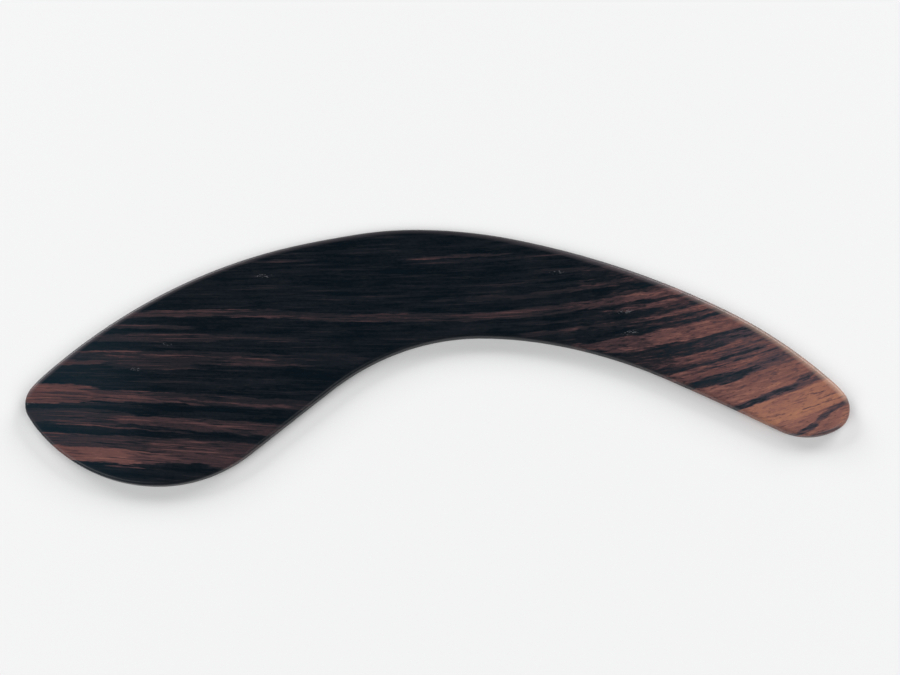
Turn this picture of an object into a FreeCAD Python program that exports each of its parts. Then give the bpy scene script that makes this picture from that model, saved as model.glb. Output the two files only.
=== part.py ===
import FreeCAD, Part
import math
import os

from FreeCAD import Vector

# A bent throwing board cut from one solid plank of striped rosewood.  It has a broad arm
# with a rounded-off pointed end, an elbow, and a slim arm with a blunt end.  Both faces
# are flat and every edge is rounded over on both sides.
#
# +X runs from the broad end to the slim end, +Y towards the crown (the outside of the
# elbow) and +Z out of the upper face.  The origin is on the underside, at the middle of
# the board's box.  Lengths are millimetres and headings are degrees, anticlockwise from
# +X.  The outline is travelled clockwise seen from above, so along the back edge the
# heading falls slowly and along the inner edge it comes back the other way.

# Plank
thickness = 5.5
edge_radius = 1.75

# Overall reach and drop of each arm, measured from the crown
broad_reach = 169.5
broad_drop = 119.5
slim_reach = 190.5
slim_drop = 98.0

# Elbow: width of the board from the crown straight down to the inner bend, and how far
# the top of the inner bend lies towards the slim arm
elbow_width = 52.5
elbow_lean = 30.0

# Broad arm: one rib across it, placed from the crown along the back edge
broad_arm_width = 71.5
broad_rib_run = 52.5
broad_rib_fall = 7.5
broad_back_heading = 13.0
broad_inner_heading = -140.0

# Slim arm: one rib across it, placed the same way
slim_arm_width = 44.0
slim_rib_run = 88.0
slim_rib_fall = 16.5
slim_back_heading = -19.0
slim_inner_heading = 166.0

# Broad end: the lobe's lowest point lies lobe_run from the crown, and the nose stands
# nose_height above it.  The nose is rounded between a point above and a point below.
lobe_run = 108.5
nose_height = 37.0
nose_above = (7.0, 12.5)
nose_above_heading = 46.0
nose_below = (6.5, 12.0)
nose_below_heading = 132.0

# Slim end: the outermost point stands toe_height above the lowest one.  The shoulder is
# where the back edge starts to turn, and the heel is where the inner edge begins.
toe_height = 13.5
shoulder = (6.0, 11.5)
shoulder_heading = -46.0
foot_setback = 19.0
heel_setback = 42.0
heel_height = 8.5
heel_heading = 153.0

# Headings square to the frame
UP, RIGHT, DOWN, LEFT = 90.0, 0.0, -90.0, 180.0


def heading_vector(degrees):
    """Unit vector that points along a heading."""
    angle = math.radians(degrees)
    return Vector(math.cos(angle), math.sin(angle), 0)


def across(point, back_heading, width):
    """The inner-edge point of a rib: width away from the back edge, square to it."""
    return point + heading_vector(back_heading - 90.0) * width


def stations():
    """The outline's points with their headings, clockwise from the nose."""
    crown = Vector(0, 0, 0)
    nose = Vector(-broad_reach, nose_height - broad_drop, 0)
    toe = Vector(slim_reach, toe_height - slim_drop, 0)
    broad_back = Vector(-broad_rib_run, -broad_rib_fall, 0)
    slim_back = Vector(slim_rib_run, -slim_rib_fall, 0)
    slim_inner = across(slim_back, slim_back_heading, slim_arm_width)
    broad_inner = across(broad_back, broad_back_heading, broad_arm_width)
    return [
        (nose, UP),
        (nose + Vector(nose_above[0], nose_above[1], 0), nose_above_heading),
        (broad_back, broad_back_heading),
        (crown, RIGHT),
        (slim_back, slim_back_heading),
        (toe + Vector(-shoulder[0], shoulder[1], 0), shoulder_heading),
        (toe, DOWN),
        (Vector(slim_reach - foot_setback, -slim_drop, 0), LEFT),
        (Vector(slim_reach - heel_setback, heel_height - slim_drop, 0), heel_heading),
        (slim_inner, slim_inner_heading),
        (Vector(elbow_lean, -elbow_width, 0), LEFT),
        (broad_inner, broad_inner_heading),
        (Vector(-lobe_run, -broad_drop, 0), LEFT),
        (nose + Vector(nose_below[0], -nose_below[1], 0), nose_below_heading),
    ]


def meeting_point(start, start_way, end, end_way):
    """Where two tangent arcs of equal reach meet between two points with directions.

    The reach d solves |end - start - d (start_way + end_way)| = 2 d.
    """
    chord = end - start
    ways = start_way + end_way
    spread = 4.0 - ways.dot(ways)
    along = chord.dot(ways)
    reach = (math.sqrt(along**2 + spread * chord.dot(chord)) - along) / spread
    return (start + end + (start_way - end_way) * reach) * 0.5


def arc(start, start_way, end):
    """The arc that leaves start along start_way and reaches end, and its way there."""
    chord = end - start
    half_turn = start_way.getAngle(chord) * math.copysign(1.0, start_way.cross(chord).z)
    left = Vector(-chord.y, chord.x, 0)
    middle = (start + end) * 0.5 - left * (0.5 * math.tan(half_turn / 2.0))
    turn = FreeCAD.Rotation(Vector(0, 0, 1), math.degrees(2.0 * half_turn))
    return Part.Arc(start, middle, end).toShape(), turn.multVec(start_way)


def outline():
    """The closed outline: two tangent arcs from each station to the next."""
    centre_x = (slim_reach - broad_reach) / 2.0
    centre_y = -max(broad_drop, slim_drop) / 2.0
    centre = Vector(centre_x, centre_y, 0)
    route = [(point - centre, heading_vector(heading)) for point, heading in stations()]
    edges = []
    for (start, start_way), (end, end_way) in zip(route, route[1:] + route[:1]):
        joint = meeting_point(start, start_way, end, end_way)
        first, joint_way = arc(start, start_way, joint)
        second, _ = arc(joint, joint_way, end)
        edges += [first, second]
    return Part.Wire(edges)


def blade():
    """The plank cut to the outline, with every edge of both faces rounded over."""
    board = Part.Face(outline()).extrude(Vector(0, 0, thickness))
    if board.Volume < 0:
        board.reverse()
    rims = [edge for edge in board.Edges if edge.BoundBox.ZLength < thickness / 2.0]
    return board.makeFillet(edge_radius, rims)


os.makedirs("parts", exist_ok=True)
blade().exportStep("parts/blade.step")
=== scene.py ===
import math

import bpy
import numpy as np
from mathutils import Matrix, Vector


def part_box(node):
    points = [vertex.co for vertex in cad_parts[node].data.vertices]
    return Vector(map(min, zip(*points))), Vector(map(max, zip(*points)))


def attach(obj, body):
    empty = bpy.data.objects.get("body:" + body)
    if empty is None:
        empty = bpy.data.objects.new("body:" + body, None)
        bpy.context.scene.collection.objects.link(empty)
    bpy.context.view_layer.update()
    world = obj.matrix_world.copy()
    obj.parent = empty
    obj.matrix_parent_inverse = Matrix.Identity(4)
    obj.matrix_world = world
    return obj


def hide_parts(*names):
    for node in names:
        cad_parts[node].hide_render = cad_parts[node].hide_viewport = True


# A bent throwing board of striped rosewood, lying on a pale table under soft light.
# Sizes of the board and its figure are in millimetres, and are turned into metres as the
# mesh is made.  The lamps, the table and the camera are set in metres.

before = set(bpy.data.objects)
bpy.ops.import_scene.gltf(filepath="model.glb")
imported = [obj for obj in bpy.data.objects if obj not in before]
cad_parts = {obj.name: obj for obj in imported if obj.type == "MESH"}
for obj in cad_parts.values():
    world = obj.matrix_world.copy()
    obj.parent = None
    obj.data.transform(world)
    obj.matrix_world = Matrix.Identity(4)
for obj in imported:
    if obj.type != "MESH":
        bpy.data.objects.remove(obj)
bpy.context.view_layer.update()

MM = 0.001
low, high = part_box("blade")
LENGTH = (high[0] - low[0]) / MM
DEPTH = (high[1] - low[1]) / MM
THICKNESS = (high[2] - low[2]) / MM


# ---------------------------------------------------------------- the board's outline

# Where the crown (the outside of the elbow) stands in the board's box
CROWN = (-10.5, DEPTH / 2.0)

# Each station is a point from the crown, a heading in degrees, and how far the edge is
# eased back there by hand.  They run clockwise from the nose, seen from above.
STATIONS = (
    (-169.5, -82.5, 90.0, 1.5),     # nose
    (-162.5, -70.0, 46.0, 1.7),     # nose, upper side
    (-52.5, -7.5, 13.0, 1.7),       # back of the broad arm
    (0.0, 0.0, 0.0, 1.7),           # crown
    (88.0, -16.5, -19.0, 2.2),      # back of the slim arm
    (184.5, -73.0, -46.0, 2.5),     # shoulder of the slim end
    (190.5, -84.5, -90.0, 2.0),     # toe
    (171.5, -98.0, -180.0, 1.3),    # foot of the slim end
    (148.5, -89.5, 153.0, 1.2),     # heel of the slim end
    (73.67, -58.1, 166.0, 1.2),     # inner edge of the slim arm
    (30.0, -52.5, 180.0, 1.1),      # top of the inner bend
    (-36.42, -77.17, -140.0, 1.1),  # inner edge of the broad arm
    (-108.5, -119.5, 180.0, 1.2),   # foot of the broad end
    (-163.0, -94.5, 132.0, 1.3),    # nose, lower side
)
TOE = 6

AROUND = 640    # steps along the back edge, and as many along the inner edge
ACROSS = 24     # steps from the back edge to the inner edge over a face
ROUND = 9       # steps over each rounded edge
CREASE = 12.0   # degrees: how steeply the rounding leaves the flat face
MARGIN = 0.80   # width of the flat strip beside the crease, as a share of the easing

# Painted sheen, paling the edge where it would mirror the windows: on the crease, then from
# the top of the rounding down to the wall.  All of it is times a share that grows where the
# edge looks sideways, and towards the slim end.
PAINTED_SHEEN_CREASE, PAINTED_SHEEN_TOP, PAINTED_SHEEN_WALL = 0.8, 1.0, 0.0
PAINTED_SHEEN_ANYWHERE, PAINTED_SHEEN_SIDEWAYS, PAINTED_SHEEN_SLIM_END = 0.15, 0.35, 0.75
PAINTED_SHEEN_TURN = 2.0          # how fast the painted sheen sets in as the edge turns to the back
GLOSS_CREASE = 0.5      # gloss on the crease, 1 below it and 0 on the face
GLOSS_INNER = 0.35      # gloss of the edge where it looks to the inner side, 1 at the back


def way(degrees):
    """Unit vector along a heading."""
    return np.array([math.cos(math.radians(degrees)), math.sin(math.radians(degrees))])


def turn(vector, angle):
    """The vector turned anticlockwise by an angle in radians."""
    c, s = math.cos(angle), math.sin(angle)
    return np.array([c * vector[0] - s * vector[1], s * vector[0] + c * vector[1]])


def half_turn(start_way, chord):
    """Signed angle from a direction to a chord: an arc along the chord turns twice that."""
    cross = start_way[0] * chord[1] - start_way[1] * chord[0]
    return math.atan2(cross, start_way @ chord)


def arcs():
    """The outline's arcs, two between neighbouring stations, as (start, way, angle, length).

    With directions t0 and t1 at points p0 and p1 and v = p1 - p0, the arcs meet at
    (p0 + p1 + d (t0 - t1)) / 2, where d solves |v - d (t0 + t1)| = 2 d.
    """
    points = [np.array([x + CROWN[0], y + CROWN[1]]) for x, y, _, _ in STATIONS]
    ways = [way(heading) for _, _, heading, _ in STATIONS]
    made = []
    for i, (p0, t0) in enumerate(zip(points, ways)):
        after = (i + 1) % len(points)
        p1, t1 = points[after], ways[after]
        v, both = p1 - p0, t0 + t1
        spread = 4.0 - both @ both
        d = (math.sqrt((v @ both) ** 2 + spread * (v @ v)) - v @ both) / spread
        joint = (p0 + p1 + d * (t0 - t1)) / 2.0
        for start, end in ((p0, joint), (joint, p1)):
            chord = end - start
            angle = 2.0 * half_turn(t0, chord)
            length = np.hypot(*chord) * (angle / 2.0) / math.sin(angle / 2.0)
            made.append((start, t0, angle, length))
            t0 = turn(t0, angle)
    return made


def walk(pieces, steps):
    """Points and headings at even steps along arcs: each piece is followed by its
    formula, p = start + length sinc(a/2) (way turned by a/2), a being the angle so far."""
    starts = np.array([p[0] for p in pieces])
    ways = np.array([p[1] for p in pieces])
    angles = np.array([p[2] for p in pieces])
    lengths = np.array([p[3] for p in pieces])
    ends = np.cumsum(lengths)
    s = np.linspace(0.0, ends[-1], steps, endpoint=False)
    k = np.searchsorted(ends, s, side="right").clip(0, len(pieces) - 1)
    along = s - (ends[k] - lengths[k])
    a = angles[k] * along / lengths[k]
    c, n = np.cos(a / 2.0), np.sin(a / 2.0)
    reach = along * np.sinc(a / 2.0 / math.pi)
    wx, wy = ways[k, 0], ways[k, 1]
    x = starts[k, 0] + reach * (c * wx - n * wy)
    y = starts[k, 1] + reach * (n * wx + c * wy)
    return np.stack([x, y], 1), np.arctan2(wy, wx) + a


def board_outline():
    """The outline as points, outward normals and easing, AROUND steps along the back
    edge from nose to toe and AROUND along the inner edge back to the nose.

    The easing runs from station to station as a (1 - w) + b w, with w = t^2 (3 - 2t)
    and t the share of the way travelled.
    """
    pieces = arcs()
    back, back_heading = walk(pieces[: 2 * TOE], AROUND)
    inner, inner_heading = walk(pieces[2 * TOE:], AROUND)
    points = np.vstack([back, inner])
    heading = np.concatenate([back_heading, inner_heading])
    normals = np.stack([-np.sin(heading), np.cos(heading)], 1)
    lengths = np.array([p[3] for p in pieces]).reshape(-1, 2).sum(1)
    stops = np.concatenate([[0.0], np.cumsum(lengths)])
    values = np.array([s[3] for s in STATIONS] + [STATIONS[0][3]])
    back_end = stops[TOE]
    s = np.concatenate([
        np.linspace(0.0, back_end, AROUND, endpoint=False),
        np.linspace(back_end, stops[-1], AROUND, endpoint=False),
    ])
    k = np.searchsorted(stops, s, side="right").clip(1, len(stops) - 1)
    t = (s - stops[k - 1]) / (stops[k] - stops[k - 1])
    w = t * t * (3.0 - 2.0 * t)
    return points, normals, values[k - 1] * (1.0 - w) + values[k] * w


def edge_profile():
    """Half of the edge's section, from the face down to the wall, for an easing of 1.

    A circle's arc that leaves the face at the crease angle and ends upright: inset
    (1 - sin a) and depth (cos crease - cos a), both over (1 - sin crease).  A flat strip
    as wide as the margin leads up to it.
    """
    crease = math.radians(CREASE)
    a = np.linspace(crease, math.pi / 2.0, ROUND + 1)
    scale = 1.0 - math.sin(crease)
    inset = (1.0 - np.sin(a)) / scale
    depth = (math.cos(crease) - np.cos(a)) / scale
    return np.concatenate([[inset[0] + MARGIN], inset]), np.concatenate([[0.0], depth])


def edge_rings(points, normals, ease):
    """Rings round the outline, from the upper face's edge down to the lower one's:
    xy = outline - normal (easing inset), z = easing depth from the nearer face."""
    inset, depth = edge_profile()
    rings = []
    for i, drop in zip(inset, depth):
        rings.append(np.column_stack([points - normals * (ease * i)[:, None], THICKNESS - ease * drop]))
    for i, drop in zip(inset[::-1], depth[::-1]):
        rings.append(np.column_stack([points - normals * (ease * i)[:, None], ease * drop]))
    return rings


def face_fill(ring, first, base, upper):
    """A face's inner vertices, quads and end triangles: (1 - t) back + t inner."""
    t = np.arange(1, ACROSS)[None, :, None] / ACROSS
    back = ring[1:AROUND]
    inner = ring[AROUND + 1:][::-1]
    fill = back[:, None, :] * (1.0 - t) + inner[:, None, :] * t
    ids = np.empty((AROUND - 1, ACROSS + 1), int)
    ids[:, 0] = first + np.arange(1, AROUND)
    ids[:, -1] = first + np.arange(AROUND + 1, len(ring))[::-1]
    ids[:, 1:-1] = base + np.arange(fill.shape[0] * fill.shape[1]).reshape(fill.shape[:2])
    quads = np.stack([ids[:-1, :-1], ids[:-1, 1:], ids[1:, 1:], ids[1:, :-1]], -1).reshape(-1, 4)
    nose = np.full(ACROSS, first)
    toe = np.full(ACROSS, first + AROUND)
    tris = np.concatenate([
        np.stack([nose, ids[0, 1:], ids[0, :-1]], 1),
        np.stack([toe, ids[-1, :-1], ids[-1, 1:]], 1),
    ])
    if not upper:
        quads, tris = quads[:, ::-1], tris[:, ::-1]
    return fill.reshape(-1, 3), quads, tris


def edge_masks(points, normals, rows, total):
    """Two numbers for each vertex: painted sheen, how much the rounding is paled where it
    would mirror the windows, and rim, how glossy it is, 0 on the faces."""
    half = rows // 2
    rubbed = np.concatenate([[0.0, PAINTED_SHEEN_CREASE], np.linspace(PAINTED_SHEEN_TOP, PAINTED_SHEEN_WALL, half - 2)])
    rim = np.concatenate([[0.0, GLOSS_CREASE], np.ones(half - 2)])
    to_back = normals[:, 1]
    slim_end = (points[:, 0] / (LENGTH / 2.0)).clip(0.0, 1.0)
    # painted sheen: only on edges that look to the back, towards the windows, more where they look
    # sideways and towards the slim end
    painted_sheen_share = PAINTED_SHEEN_ANYWHERE + PAINTED_SHEEN_SLIM_END * slim_end ** 2.0 + PAINTED_SHEEN_SIDEWAYS * abs(normals[:, 0])
    painted_sheen_share = painted_sheen_share * (to_back * PAINTED_SHEEN_TURN).clip(0.0, 1.0)
    gloss = GLOSS_INNER + (1.0 - GLOSS_INNER) * to_back.clip(0.0, 1.0)
    masks = np.zeros((2, total))
    for mask, section, share in zip(masks, (rubbed, rim), (painted_sheen_share, gloss)):
        both = np.concatenate([section, section[::-1]])
        mask[: rows * len(points)] = np.outer(both, share).ravel()
    return masks


def board_mesh():
    """The whole board as one closed surface.

    Rings carry the edge's section round the outline, from the upper face down to the
    lower one, and each face is filled by straight lines from the back edge to the inner
    edge.
    """
    points, normals, ease = board_outline()
    rings = edge_rings(points, normals, ease)
    rows, count = len(rings), len(points)
    j = np.arange(count)
    nxt = (j + 1) % count
    verts, tris = [np.concatenate(rings)], []
    quads = [
        np.stack([r * count + j, r * count + nxt, (r + 1) * count + nxt, (r + 1) * count + j], 1)
        for r in range(rows - 1)
    ]
    base = rows * count
    for ring, first, upper in ((rings[0], 0, True), (rings[-1], (rows - 1) * count, False)):
        fill, face_quads, face_tris = face_fill(ring, first, base, upper)
        verts.append(fill)
        quads.append(face_quads)
        tris.append(face_tris)
        base += len(fill)
    masks = edge_masks(points, normals, rows, base)
    return np.concatenate(verts) * MM, np.concatenate(quads), np.concatenate(tris), masks


def make_board():
    """The rosewood board as one object that stands for the CAD blade."""
    verts, quads, tris, masks = board_mesh()
    mesh = bpy.data.meshes.new("rosewood_board")
    mesh.from_pydata(verts.tolist(), [], quads.tolist() + tris.tolist())
    mesh.update()
    mesh.validate()
    # the first attribute is the painted sheen on the back edges, the second the rim's gloss
    for name, values in zip(("rubbed", "rim"), masks):
        layer = mesh.attributes.new(name, "FLOAT", "POINT")
        layer.data.foreach_set("value", values.astype(np.float32))
    mesh.polygons.foreach_set("use_smooth", np.ones(len(mesh.polygons), bool))
    board = bpy.data.objects.new("rosewood_board", mesh)
    bpy.context.scene.collection.objects.link(board)
    return board


# ---------------------------------------------------------------- shader maths

class Value:
    """A number that varies over the surface.  Arithmetic on it adds Math nodes."""

    def __init__(self, finish, socket):
        self.finish = finish
        self.socket = socket

    def __add__(self, other):
        return self.finish.math("ADD", self, other)

    def __radd__(self, other):
        return self.finish.math("ADD", other, self)

    def __sub__(self, other):
        return self.finish.math("SUBTRACT", self, other)

    def __rsub__(self, other):
        return self.finish.math("SUBTRACT", other, self)

    def __mul__(self, other):
        return self.finish.math("MULTIPLY", self, other)

    def __rmul__(self, other):
        return self.finish.math("MULTIPLY", other, self)

    def __truediv__(self, other):
        return self.finish.math("DIVIDE", self, other)

    def __rtruediv__(self, other):
        return self.finish.math("DIVIDE", other, self)

    def __pow__(self, other):
        return self.finish.math("POWER", self, other)

    def __rpow__(self, other):
        return self.finish.math("POWER", other, self)

    def scaled(self, factor, plus):
        """value * factor + plus, in one node."""
        return self.finish.math("MULTIPLY_ADD", self, factor, plus)

    def at_least(self, other):
        """The larger of the two."""
        return self.finish.math("MAXIMUM", self, other)

    def clamped(self):
        """The same value, kept between 0 and 1."""
        return self.finish.math("ADD", self, 0.0, clamp=True)

    def rise(self, start, end, low=0.0, high=1.0):
        """A smooth step: low up to start, high from end."""
        return self.finish.node("ShaderNodeMapRange", {"interpolation_type": "SMOOTHSTEP"}, {
            "Value": self, "From Min": start, "From Max": end, "To Min": low, "To Max": high,
        }, "Result")


class Finish:
    """A material being made: one method adds any node."""

    def __init__(self, name):
        self.material = bpy.data.materials.new(name)
        self.material.use_nodes = True
        self.tree = self.material.node_tree
        self.tree.nodes.clear()

    def node(self, kind, settings=None, inputs=None, out=0):
        """Adds a node: its settings first, then its sockets' values or links, each named
        or numbered.  Returns the output asked for, or None if the node has none."""
        node = self.tree.nodes.new(kind)
        for name, setting in (settings or {}).items():
            if name == "stops":
                ramp = node.color_ramp
                while len(ramp.elements) < len(setting):
                    ramp.elements.new(0.5)
                for element, (position, colour) in zip(ramp.elements, setting):
                    element.position = position
                    element.color = colour
            else:
                setattr(node, name, setting)
        for name, value in (inputs or {}).items():
            socket = node.inputs[name]
            if isinstance(value, Value):
                self.tree.links.new(value.socket, socket)
            else:
                socket.default_value = value
        return Value(self, node.outputs[out]) if len(node.outputs) else None

    def math(self, operation, *operands, clamp=False):
        settings = {"operation": operation, "use_clamp": clamp}
        return self.node("ShaderNodeMath", settings, dict(enumerate(operands)))

    def vector(self, x, y, z):
        return self.node("ShaderNodeCombineXYZ", None, {"X": x, "Y": y, "Z": z})

    def ramp(self, value, stops):
        return self.node("ShaderNodeValToRGB", {"stops": stops}, {"Fac": value})

    def mix(self, factor, a, b):
        """Mixes two colours."""
        return self.node("ShaderNodeMix", {"data_type": "RGBA"}, {0: factor, 6: a, 7: b}, 2)

    def attribute(self, name):
        return self.node("ShaderNodeAttribute", {"attribute_name": name}, None, "Fac")

    def output(self, shader):
        self.node("ShaderNodeOutputMaterial", None, {"Surface": shader})


def linear(red, green, blue):
    """A display colour from 0 to 255 as scene-linear, with full alpha."""
    part = (np.array([red, green, blue]) / 255.0 + 0.055) / 1.055
    return tuple(float(v) for v in part ** 2.4) + (1.0,)


# ---------------------------------------------------------------- rosewood

PER_METRE = 1.0 / MM    # Object coordinates are in metres, the figure in millimetres

# Across the fibres: rho = y + 100 (a h + b h^2 + c h^3 + d h k + e h^2 k), where h and k
# are x and y over 100.  It is how the trunk bent as it grew.
BEND = 100.0
BEND_H, BEND_HH, BEND_HHH = -0.0148, -0.0471, -0.0193
BEND_HK, BEND_HHK = -0.0606, 0.0346
LEAN = 0.35             # how far the fibres lean as they go down through the plank

# Cloudy patterns in the wood: how long along the board, how wide across the fibres and
# how deep a lump is, then the noise's detail and roughness
SLOW_WAVES = (34.0, 8.0, 20.0, 2.0, 0.50)
SHORT_JOGS = (8.0, 1.3, 5.0, 3.0, 0.65)
FRAYING = (60.0, 0.8, 2.0, 2.0, 0.60)
PALE_FIBRES = (28.0, 0.85, 1.2, 2.0, 0.60)
DARK_FIBRES = (15.0, 1.05, 1.1, 2.0, 0.60)
STRANDS = (28.0, 2.0, 2.0, 3.0, 0.60)
SHIMMER = (18.0, 7.0, 10.0, 2.0, 0.50)
SPECKS = (1.6, 0.7, 1.0, 1.0, 0.50)
GRIT = (0.9, 0.45, 1.0, 1.0, 0.50)
DARK_SHIFT = 42.0       # takes the dark fibres from another part of the noise
PORE_LONG, PORE_WIDE = 12.0, 1.25

# How a pattern turns into a mark: nothing up to the first level, full from the second
PALE_LEVELS = (0.53, 0.72)
DARK_LEVELS = (0.52, 0.72)
GRIT_LEVELS = (0.56, 0.66)
PORE_LEVELS = (0.10, 0.22, 1.0, 0.0)    # full in the middle of a pore, nothing outside
PATCH_LEVELS = (0.20, 1.00, 1.0, 0.0)   # the same for a patch of scuffs

# What changes along the board: from this x to that x, and from this value to that one
GROUND = (60.0, 130.0, 0.05, 0.55)      # plain wood's tone
MORE_PALE = (60.0, 110.0, 0.0, 0.08)
DARK_DEPTH = (50.0, 110.0, 0.90, 0.648)
STRAND_DEPTH = (50.0, 110.0, 0.28, 0.46)
SHIMMER_DEPTH = (0.0, 90.0, 0.14, 0.26)
SPECK_DEPTH = (60.0, 110.0, 0.05, 0.18)
BLED_TONE = (70.0, 150.0, 0.0, 0.80)    # wood darker than this is where black has bled
COOL_NOSE = (-170.0, -110.0, 0.9, 0.0)
# where the painted sheen on the back edges turns from grey to tan
PAINTED_SHEEN_TO_TAN = (90.0, 150.0)
DIP, DIP_RATE = 60.0, 2.0   # past this x the grain dips, so fibres and pores are cut shorter

# How far streaks wander, and how their ends and borders are
SLOW_WANDER, SHORT_WANDER = 1.4, 3.0
FRAY_MOST = 18.0        # longest fraying of a streak's end
FRAY_SHARE = 1.2        # the most it can be, as a share of the streak's reach
REACH_SHARE = 0.54      # reach from the middle, over the distance between the two ends
SOFT_WIDTH, SOFT_LEAST, SOFT_MOST = 0.35, 0.10, 0.50    # soft share of the half width

# How strongly the fibres change the tone.  They show most in dark wood.
PALE_LIFT, PALE_POWER, PALE_FLOOR = 1.05, 1.6, 0.1
MARK_EVERYWHERE = 0.15
SPECK_EVERYWHERE = 0.11
BLED_GAIN = 2.4
NOSE_TONES = (0.25, 0.5, 1.0, 0.0)      # of the nose's wood, only the dark is cool
# the last is how strongly the painted sheen covers the back edges' colour
PORE_COVER, SCUFF_COVER, PAINTED_SHEEN_COVER = 0.45, 0.26, 0.46
SCUFF_WIDTH = 1.2

SATIN = 0.31            # roughness of the oiled face
PORE_ROUGH, STRAND_ROUGH = 0.25, 0.12
SHEEN = 0.12            # specular level
RIM_GLOSS, RIM_SATIN = 0.38, 0.40
RELIEF, RELIEF_STRENGTH = 0.0001, 0.3   # height of the grain's relief, in metres
PALE_RISE, STRAND_RISE, DARK_DROP, PORE_DROP = 0.4, 0.3, 0.3, 0.5

BLACK_PORE = linear(6, 10, 14)
PALE_SCUFF = linear(150, 150, 154)
# colours of the painted sheen on the back edges, grey and tan
PAINTED_SHEEN_GREY, PAINTED_SHEEN_TAN = linear(150, 134, 138), linear(200, 166, 146)

# The wood's colour by tone: the warm one for plain wood, a cooler one for the black that
# has bled into the pale wood of the slim end, and for the nose
WARM_WOOD = (
    (0.00, linear(2, 13, 20)),
    (0.14, linear(20, 25, 31)),
    (0.30, linear(38, 34, 38)),
    (0.50, linear(68, 50, 53)),
    (0.72, linear(101, 69, 66)),
    (0.86, linear(127, 87, 79)),
    (1.00, linear(163, 113, 88)),
)
COOL_WOOD = (
    (0.00, linear(13, 29, 38)),
    (0.14, linear(26, 34, 41)),
    (0.30, linear(42, 43, 50)),
    (0.50, linear(70, 61, 67)),
    (0.72, linear(100, 77, 79)),
    (0.86, linear(129, 90, 86)),
    (1.00, linear(162, 115, 98)),
)

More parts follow.
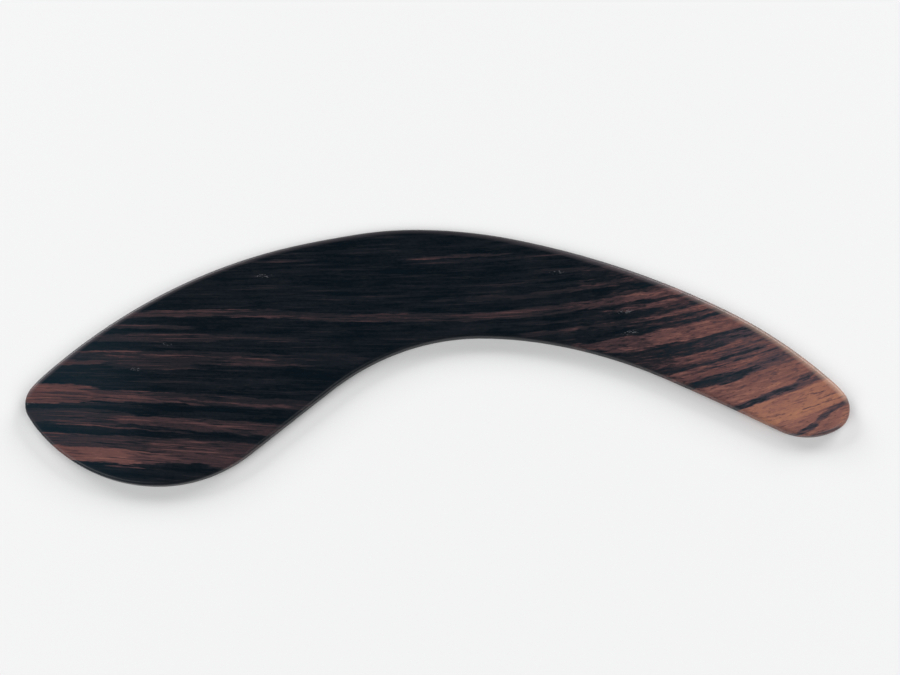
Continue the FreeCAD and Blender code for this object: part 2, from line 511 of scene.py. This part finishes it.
# The figure, drawn in the plank's own grain: how far along the board (x), and how far
# across the fibres (rho), both in millimetres.  A streak runs straight from one end to
# the other (x, rho, x, rho), with its half width, its tone (0 black heartwood, 1 tan
# sapwood) and how strongly it covers what lies under it.  Later streaks lie over earlier
# ones.
STREAKS = (
    # the slim arm's brown and tan wood
    (52, 25.5, 92, 27.0, 1.0, 0.30, 0.9),
    (76, 21.0, 108, 20.5, 1.0, 0.34, 0.9),
    (52, 17.0, 100, 18.5, 1.9, 0.42, 0.95),
    (85, 18.5, 118, 17.5, 2.0, 0.56, 0.95),
    (78, 13.5, 122, 13.5, 1.3, 0.40, 0.9),
    (56, 7.0, 100, 8.0, 0.8, 0.34, 0.9),
    (92, 8.5, 125, 9.0, 1.0, 0.54, 0.95),
    (96, 5.0, 128, 5.0, 0.4, 0.46, 0.8),
    (60, -1.5, 80, -2.5, 1.8, 0.40, 0.95),
    (72, -2.5, 104, -2.5, 3.2, 0.48, 0.95),
    (94, -2.0, 142, -1.0, 3.6, 0.65, 0.95),
    (102, -14.0, 150, -11.5, 1.4, 0.54, 0.95),
    (104, -19.5, 156, -17.0, 1.0, 0.52, 0.9),
    (100, -22.5, 160, -19.5, 1.2, 0.62, 0.95),
    (106, -33.0, 176, -30.5, 5.6, 0.76, 1.0),
    (124, -46.5, 190, -44.5, 6.4, 0.92, 1.0),
    (142, -55.5, 192, -58.0, 4.2, 0.84, 1.0),
    (144, -52.0, 168, -52.5, 0.9, 0.84, 0.8),
    # its black and dark streaks
    (54, 22.5, 101, 24.0, 1.6, 0.05, 0.95),
    (52, 13.5, 84, 15.0, 0.9, 0.08, 0.95),
    (78, 15.5, 114, 16.0, 0.7, 0.10, 0.95),
    (56, 11.0, 104, 10.0, 2.0, 0.13, 0.9),
    (97, 10.5, 120, 11.5, 0.9, 0.12, 0.95),
    (72, 5.5, 128, 6.5, 0.8, 0.18, 0.9),
    (54, 2.0, 98, 3.0, 1.9, 0.07, 0.95),
    (90, 3.0, 132, 4.5, 1.0, 0.13, 0.95),
    (72, -7.5, 98, -8.5, 1.3, 0.10, 0.95),
    (82, -9.0, 128, -9.0, 2.8, 0.15, 0.95),
    (97, -6.0, 108, -6.0, 1.0, 0.10, 0.95),
    (84, -12.5, 104, -13.5, 1.1, 0.24, 0.9),
    (114, -8.5, 148, -7.0, 1.9, 0.32, 0.95),
    (108, -6.0, 144, -5.0, 0.6, 0.17, 0.95),
    (124, -13.5, 150, -12.0, 0.4, 0.38, 0.9),
    (128, -15.0, 152, -13.5, 0.4, 0.36, 0.9),
    (95, -17.0, 115, -17.5, 1.3, 0.10, 0.95),
    (108, -17.5, 143, -16.0, 0.6, 0.15, 0.95),
    (134, -16.0, 156, -14.5, 0.6, 0.27, 0.9),
    (108, -20.5, 154, -18.0, 0.4, 0.28, 0.9),
    (107, -26.0, 134, -25.5, 1.8, 0.11, 0.95),
    (117, -24.0, 129, -24.0, 0.7, 0.16, 0.9),
    (124, -27.5, 133, -27.0, 0.6, 0.22, 0.9),
    (128, -25.5, 146, -23.5, 1.0, 0.20, 0.95),
    (142, -23.5, 162, -21.5, 1.2, 0.42, 0.9),
    (127, -41.0, 138, -39.0, 1.2, 0.16, 0.95),
    (134, -39.5, 144, -38.0, 1.1, 0.22, 0.95),
    (140, -38.5, 151, -37.0, 0.8, 0.30, 0.95),
    (146, -37.0, 157, -37.5, 0.8, 0.30, 0.95),
    (154, -37.5, 163, -35.0, 0.9, 0.36, 0.95),
    (159, -35.0, 169, -32.5, 1.2, 0.38, 0.95),
    (152, -59.0, 163, -57.5, 1.0, 0.30, 0.95),
    (158, -58.0, 171, -53.5, 1.0, 0.42, 0.95),
    (166, -54.0, 182, -51.0, 0.9, 0.42, 0.95),
    (158, -61.5, 172, -61.0, 0.4, 0.50, 0.8),
    # short dark strokes in its tan wood
    (159, -48.5, 166, -48.5, 0.3, 0.50, 0.9),
    (168, -48.5, 179, -49.0, 0.3, 0.52, 0.9),
    (166, -46.0, 174, -46.5, 0.2, 0.60, 0.9),
    (161, -43.0, 169, -43.5, 0.2, 0.62, 0.9),
    (143, -47.0, 150, -48.0, 0.2, 0.62, 0.9),
    # the brown lines through the black of the elbow
    (-142, 18.0, -95, 18.5, 1.9, 0.38, 0.95),
    (-100, 18.0, -46, 17.0, 1.6, 0.24, 0.9),
    (-98, 17.0, -58, 16.5, 0.4, 0.42, 0.9),
    (-124, 19.5, -98, 19.0, 0.4, 0.46, 0.8),
    (-104, 20.0, -70, 19.5, 0.4, 0.34, 0.8),
    (-60, 16.0, 36, 15.5, 1.9, 0.28, 0.9),
    (-42, 16.5, -8, 16.0, 0.4, 0.38, 0.8),
    (18, 15.5, 64, 17.0, 2.2, 0.32, 0.9),
    (44, 25.0, 70, 26.0, 1.0, 0.30, 0.8),
    (-12, 45.0, 32, 45.5, 0.7, 0.34, 0.9),
    (-6, 42.5, 56, 43.0, 0.9, 0.20, 0.8),
    (-94, 45.0, -60, 45.5, 0.8, 0.26, 0.8),
    (0, 24.0, 50, 24.0, 1.2, 0.22, 0.8),
    (-18, 30.5, 40, 30.5, 0.7, 0.18, 0.7),
    (-60, 26.0, -16, 26.0, 1.0, 0.14, 0.7),
    (40, 29.0, 70, 28.5, 0.6, 0.20, 0.7),
    (44, 36.0, 84, 33.5, 1.0, 0.25, 0.7),
    (38, 6.0, 62, 6.5, 1.0, 0.30, 0.8),
    (4, 11.0, 54, 11.0, 1.2, 0.16, 0.8),
    (-42, 39.0, 12, 38.5, 1.8, 0.00, 0.7),
    # the broad arm's upper half: grey-brown bands with fine bright lines
    (-146, 11.5, -112, 10.5, 1.1, 0.30, 0.9),
    (-152, 9.0, -114, 9.0, 0.8, 0.05, 0.9),
    (-160, 5.0, -94, 5.5, 2.3, 0.30, 0.9),
    (-100, 6.0, -60, 5.5, 1.8, 0.16, 0.8),
    (-160, 0.5, -122, 1.0, 1.5, 0.05, 0.95),
    (-128, 1.0, -58, 1.0, 1.0, 0.08, 0.9),
    (-176, -5.0, -60, -5.0, 3.5, 0.25, 0.9),
    (-70, -5.0, -34, -4.5, 3.2, 0.15, 0.8),
    (-144, -9.5, -110, -9.5, 1.5, 0.24, 0.85),
    (-170, -8.0, -148, -7.5, 1.4, 0.42, 0.9),
    (-160, -2.0, -134, -2.5, 0.4, 0.48, 0.8),
    (-150, -4.0, -133, -5.0, 0.4, 0.46, 0.8),
    (-130, -3.5, -116, -4.0, 0.4, 0.42, 0.8),
    (-118, -3.5, -96, -4.5, 0.4, 0.40, 0.8),
    (-92, -4.0, -72, -5.0, 0.4, 0.46, 0.8),
    (-102, -6.0, -58, -7.5, 0.4, 0.36, 0.8),
    (-134, -11.0, -104, -11.0, 0.4, 0.34, 0.8),
    (-176, -14.5, -132, -15.5, 4.2, 0.06, 0.7),
    (-100, -11.0, -50, -11.0, 1.5, 0.00, 0.9),
    (-130, -17.5, -60, -17.0, 1.8, 0.12, 0.7),
    # its lower half: the brown nose, then brown and black by turns
    (-188, -25.0, -148, -25.5, 5.3, 0.58, 1.0),
    (-165, -25.5, -110, -26.0, 3.2, 0.40, 0.95),
    (-126, -25.5, -50, -26.5, 2.5, 0.26, 0.9),
    (-178, -22.5, -152, -24.0, 0.5, 0.68, 0.8),
    (-172, -25.5, -142, -27.5, 0.4, 0.64, 0.8),
    (-150, -25.5, -104, -28.5, 0.4, 0.52, 0.8),
    (-120, -26.0, -66, -27.5, 0.4, 0.44, 0.8),
    (-84, -28.0, -56, -26.5, 0.4, 0.44, 0.8),
    (-188, -36.5, -132, -37.0, 4.0, 0.27, 0.95),
    (-140, -37.5, -106, -38.0, 2.2, 0.46, 0.95),
    (-118, -38.5, -58, -39.0, 3.1, 0.35, 0.95),
    (-182, -33.0, -160, -32.0, 0.6, 0.08, 0.9),
    (-168, -31.0, -146, -30.5, 0.8, 0.06, 0.95),
    (-152, -31.5, -120, -31.5, 1.1, 0.05, 0.95),
    (-128, -31.5, -96, -31.0, 1.9, 0.03, 0.95),
    (-106, -31.0, -56, -32.0, 2.2, 0.03, 0.95),
    (-184, -49.0, -58, -49.0, 3.4, 0.36, 0.95),
    (-182, -56.0, -122, -56.0, 3.8, 0.68, 1.0),
    (-130, -56.0, -76, -55.0, 3.2, 0.46, 0.95),
    (-134, -53.5, -112, -55.5, 0.8, 0.60, 0.7),
    (-142, -48.0, -120, -49.0, 0.4, 0.50, 0.8),
    (-102, -51.0, -88, -51.5, 0.4, 0.50, 0.8),
    (-180, -41.0, -160, -41.5, 0.6, 0.10, 0.95),
    (-168, -43.5, -140, -44.5, 1.9, 0.04, 0.95),
    (-146, -44.5, -116, -44.0, 1.3, 0.05, 0.95),
    (-124, -44.0, -98, -43.5, 0.7, 0.07, 0.95),
    (-108, -43.0, -84, -42.5, 1.3, 0.05, 0.95),
    (-108, -44.5, -64, -44.5, 0.6, 0.06, 0.9),
    (-164, -41.0, -138, -42.0, 0.4, 0.44, 0.8),
    (-146, -42.0, -108, -42.5, 0.4, 0.40, 0.8),
    (-158, -65.0, -118, -63.5, 3.6, 0.05, 1.0),
    (-128, -63.0, -84, -63.0, 4.4, 0.05, 1.0),
    (-120, -59.0, -98, -57.5, 0.9, 0.06, 0.95),
    (-142, -61.0, -126, -61.0, 0.5, 0.52, 0.8),
)

# Patches of small scuffs in the rubbed face: x, rho and reach along the fibres
SCUFFS = (
    (54, 34.5, 4.0),
    (-120, 2.0, 2.5),
    (-133, -11.5, 2.5),
    (-177, -31.0, 2.5),
    (-79, 37.5, 5.0),
    (84, 12.5, 4.5),
    (86, 2.5, 5.0),
)


def across_fibres(x, y, z):
    """How far across the fibres a place in the wood is, rho."""
    h = x / BEND
    k = y / BEND
    bent = (k + h * BEND_H + h * h * BEND_HH + h * h * h * BEND_HHH
            + h * k * BEND_HK + h * h * k * BEND_HHK) * BEND
    return bent + (z - THICKNESS) * LEAN


def cloudy(wood, pattern, x, rho, z):
    """Cloudy noise from 0 to 1, in lumps of the pattern's size."""
    along, across, deep, detail, roughness = pattern
    return wood.node("ShaderNodeTexNoise", None, {
        "Vector": wood.vector(x / along, rho / across, z / deep),
        "Scale": 1.0, "Detail": detail, "Roughness": roughness,
    })


def streaked(wood, x, rho, z):
    """The wood's tone with every streak laid over the ground.

    A streak is the inside of (distance off its line / half)^2 + (x from its middle /
    reach)^4 = 1.  It wanders by long slow waves and short jogs, and its ends fray fibre
    by fibre.
    """
    slow = cloudy(wood, SLOW_WAVES, x, rho, z)
    jog = cloudy(wood, SHORT_JOGS, x, rho, z)
    fray = cloudy(wood, FRAYING, x, rho, z)
    drawn = rho + (slow - 0.5) * SLOW_WANDER + (jog - 0.5) * SHORT_WANDER
    tone = x.rise(*GROUND)
    for x0, r0, x1, r1, half, level, cover in STREAKS:
        slope = (r1 - r0) / (x1 - x0)
        middle, reach = (x0 + x1) / 2.0, (x1 - x0) * REACH_SHARE
        frayed = min(FRAY_MOST, FRAY_SHARE * reach) / reach
        soft = min(SOFT_MOST, max(SOFT_LEAST, SOFT_WIDTH / half))
        off = x.scaled(-slope / half, drawn.scaled(1.0 / half, (slope * x0 - r0) / half))
        end = fray.scaled(frayed, x.scaled(1.0 / reach, -middle / reach - 0.5 * frayed))
        end = end * end
        border = end.scaled(end, off * off)
        mask = border.rise((1.0 - soft) ** 2, (1.0 + soft) ** 2, cover, 0.0)
        tone = (level - tone).scaled(mask, tone)
    return tone


def fibred(wood, tone, x, rho, z, run):
    """The tone with its fine fibres, and the fibres by themselves for the relief: pale
    lines in the dark wood, dark lines in the brown, and softer strands."""
    flecked = cloudy(wood, PALE_FIBRES, run, rho, z)
    pale = (flecked + x.rise(*MORE_PALE)).rise(*PALE_LEVELS)
    dark = cloudy(wood, DARK_FIBRES, run, rho + DARK_SHIFT, z).rise(*DARK_LEVELS)
    strand = cloudy(wood, STRANDS, run, rho, z) - 0.5
    shimmer = cloudy(wood, SHIMMER, x, rho, z) - 0.5
    speck = cloudy(wood, SPECKS, x, rho, z) - 0.5
    darkness = 1.0 - tone.clamped()
    tone = tone + (tone + PALE_FLOOR) * darkness ** PALE_POWER * pale * PALE_LIFT
    tone = tone - tone * (darkness + MARK_EVERYWHERE) * dark * x.rise(*DARK_DEPTH)
    tone = tone + strand * (darkness + MARK_EVERYWHERE) * x.rise(*STRAND_DEPTH)
    tone = tone + shimmer * x.rise(*SHIMMER_DEPTH)
    tone = tone + speck * (darkness * x.rise(*SPECK_DEPTH) + SPECK_EVERYWHERE)
    return tone, pale, dark, strand


def coloured(wood, tone, x):
    """The tone's colour: cool where black has bled into the pale wood, and in the dark
    wood of the nose, warm elsewhere."""
    bled = ((x.rise(*BLED_TONE) - tone) * BLED_GAIN).clamped()
    nose = x.rise(*COOL_NOSE) * tone.rise(*NOSE_TONES)
    return wood.mix(bled.at_least(nose), wood.ramp(tone, WARM_WOOD), wood.ramp(tone, COOL_WOOD))


def pores(wood, rho, z, run):
    """Short open grooves along the fibres: 1 in a pore, 0 between them."""
    place = wood.vector(run / PORE_LONG, rho / PORE_WIDE, z / PORE_WIDE)
    cell = wood.node("ShaderNodeTexVoronoi", {"feature": "F1"}, {
        "Vector": place, "Scale": 1.0, "Randomness": 1.0,
    })
    return cell.rise(*PORE_LEVELS)


def scuffs(wood, x, rho, z):
    """A scatter of specks inside a few small oval patches."""
    patches = None
    for centre, across, reach in SCUFFS:
        oval = ((x - centre) / reach) ** 2.0 + ((rho - across) / SCUFF_WIDTH) ** 2.0
        patch = oval.rise(*PATCH_LEVELS)
        patches = patches.at_least(patch) if patches else patch
    return patches * cloudy(wood, GRIT, x, rho, z).rise(*GRIT_LEVELS)


def rosewood():
    """Striped rosewood, oiled, with a painted sheen on its back edges."""
    wood = Finish("striped_rosewood")
    place = wood.node("ShaderNodeTexCoord", None, None, "Object")
    split = wood.node("ShaderNodeSeparateXYZ", None, {0: place})
    x, y, z = (Value(wood, socket) * PER_METRE for socket in split.socket.node.outputs)
    rho = across_fibres(x, y, z)
    run = x + (x.at_least(DIP) - DIP) * DIP_RATE
    tone, pale, dark, strand = fibred(wood, streaked(wood, x, rho, z), x, rho, z, run)
    pore = pores(wood, rho, z, run)
    # the painted sheen's colour, grey going tan towards the slim end
    painted_sheen_colour = wood.mix(x.rise(*PAINTED_SHEEN_TO_TAN), PAINTED_SHEEN_GREY, PAINTED_SHEEN_TAN)

    colour = coloured(wood, tone, x)
    colour = wood.mix(pore * PORE_COVER, colour, BLACK_PORE)
    colour = wood.mix(scuffs(wood, x, rho, z) * SCUFF_COVER, colour, PALE_SCUFF)
    # paints the sheen onto the back edges' rounding
    colour = wood.mix(wood.attribute("rubbed") * PAINTED_SHEEN_COVER, colour, painted_sheen_colour)

    relief = pale * PALE_RISE + strand * STRAND_RISE - dark * DARK_DROP - pore * PORE_DROP
    bump = wood.node("ShaderNodeBump", None, {
        "Strength": RELIEF_STRENGTH, "Distance": RELIEF, "Height": relief,
    })
    wood.output(wood.node("ShaderNodeBsdfPrincipled", None, {
        "Base Color": colour, "Roughness": pore * PORE_ROUGH + strand * STRAND_ROUGH + SATIN,
        "Normal": bump, "Specular IOR Level": SHEEN,
        "Coat Weight": wood.attribute("rim") * RIM_GLOSS, "Coat Roughness": RIM_SATIN,
    }))
    return wood.material


# ---------------------------------------------------------------- table, light, camera

TABLE_HALF = 3.0
TABLE_PAINT = (0.8, 0.8, 0.8, 1.0)
TABLE_MATT = 0.9
TABLE_SHEEN = 0.1

SKY_COLOUR = (0.94, 0.97, 1.0, 1.0)
SKY_STRENGTH = 0.10

# Soft rectangular lamps, all turned to the middle of the board: name, place, width,
# height and watts.  Two windows behind the board, off to its sides, and a fill on each
# side in front.
LAMPS = (
    ("left_window", (-1.7, 1.95, 1.1), 1.5, 1.1, 51.0),
    ("right_window", (1.7, 1.95, 1.1), 1.5, 1.1, 50.0),
    ("left_fill", (-1.3, -0.75, 1.2), 1.1, 1.1, 18.3),
    ("right_fill", (1.3, -0.75, 1.2), 1.1, 1.1, 18.0),
)

EYE_ELEVATION = 70.94   # degrees above the table
EYE_DISTANCE = 0.4418
EYE_AIM = (0.0055, 0.0063, THICKNESS * MM)
EYE_NEAREST = 0.01
SENSOR, LENS = 36.0, 39.72


def pale_table():
    """A plain pale table top under the board."""
    mesh = bpy.data.meshes.new("table")
    corners = [(-1, -1), (1, -1), (1, 1), (-1, 1)]
    mesh.from_pydata([(x * TABLE_HALF, y * TABLE_HALF, 0) for x, y in corners], [], [(0, 1, 2, 3)])
    table = bpy.data.objects.new("table", mesh)
    bpy.context.scene.collection.objects.link(table)
    paint = Finish("pale_table")
    paint.output(paint.node("ShaderNodeBsdfPrincipled", None, {
        "Base Color": TABLE_PAINT, "Roughness": TABLE_MATT, "Specular IOR Level": TABLE_SHEEN,
    }))
    mesh.materials.append(paint.material)


def softbox(name, place, width, height, power):
    """A rectangular lamp that faces the middle of the board."""
    light = bpy.data.lights.new(name, "AREA")
    light.shape = "RECTANGLE"
    light.size, light.size_y = width, height
    light.energy = power
    lamp = bpy.data.objects.new(name, light)
    bpy.context.scene.collection.objects.link(lamp)
    lamp.location = place
    lamp.rotation_euler = (-Vector(place)).to_track_quat("-Z", "Y").to_euler()


def studio():
    """A dim sky and the lamps."""
    world = bpy.data.worlds.new("studio")
    bpy.context.scene.world = world
    world.use_nodes = True
    background = world.node_tree.nodes["Background"]
    background.inputs["Color"].default_value = SKY_COLOUR
    background.inputs["Strength"].default_value = SKY_STRENGTH
    for lamp in LAMPS:
        softbox(*lamp)


def camera():
    """Above the board's inner side, looking down at it."""
    elevation = math.radians(EYE_ELEVATION)
    back = Vector((0.0, -math.cos(elevation), math.sin(elevation)))
    data = bpy.data.cameras.new("camera")
    data.sensor_width = SENSOR
    data.lens = LENS
    data.clip_start = EYE_NEAREST
    eye = bpy.data.objects.new("camera", data)
    bpy.context.scene.collection.objects.link(eye)
    eye.location = Vector(EYE_AIM) + back * EYE_DISTANCE
    eye.rotation_euler = (-back).to_track_quat("-Z", "Y").to_euler()
    bpy.context.scene.camera = eye


board = make_board()
board.data.materials.append(rosewood())
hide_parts("blade")
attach(board, "root")
pale_table()
studio()
camera()
bpy.context.scene.view_settings.view_transform = "Standard"
